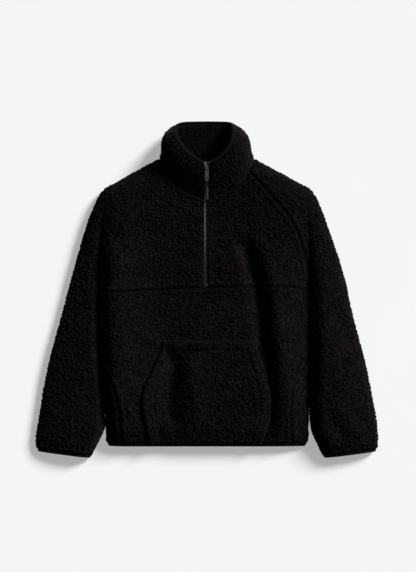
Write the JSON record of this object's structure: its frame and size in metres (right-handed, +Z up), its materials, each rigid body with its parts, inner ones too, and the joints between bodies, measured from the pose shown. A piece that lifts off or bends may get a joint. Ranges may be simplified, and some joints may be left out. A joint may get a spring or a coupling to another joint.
{
  "type": "quarter-zip fleece pullover, laid flat",
  "caption": "Black high-pile fleece pullover with a quarter zip, stand collar, raglan sleeves and a kangaroo pocket, laid flat on its back.",
  "frame": {"origin": "on the surface it lies on, under the middle of the garment's bounding box", "axes": "+X to the right looking down on the front, +Y towards the collar, +Z up out of the front"},
  "size_m": [0.8242, 0.81, 0.0762],
  "materials": {
    "fleece": "matte",
    "binding": "matte",
    "zip_tape": "satin",
    "zip_metal": "satin"
  },
  "bodies": {
    "pullover": {"back_panel": "fleece", "front_lower": "fleece", "front_upper_right": "fleece", "front_upper_left": "fleece", "sleeve_right": "fleece", "sleeve_left": "fleece", "collar": "fleece", "pocket": "fleece", "collar_binding": "binding", "hem_binding": "binding", "cuff_binding_right": "binding", "cuff_binding_left": "binding", "zip_tape_right": "zip_tape", "zip_tape_left": "zip_tape", "zip_slider": "zip_metal", "zip_bottom_stop": "zip_metal"},
    "pull_tab": {"zip_pull_tab": "zip_metal"}
  },
  "joints": [
    {"name": "pull_swing", "type": "hinge", "parent": "pullover", "child": "pull_tab", "pos_m": [0.001, 0.29061, 0.06683], "axis": [-1, 0, 0], "range_deg": [0, 150]}
  ]
}
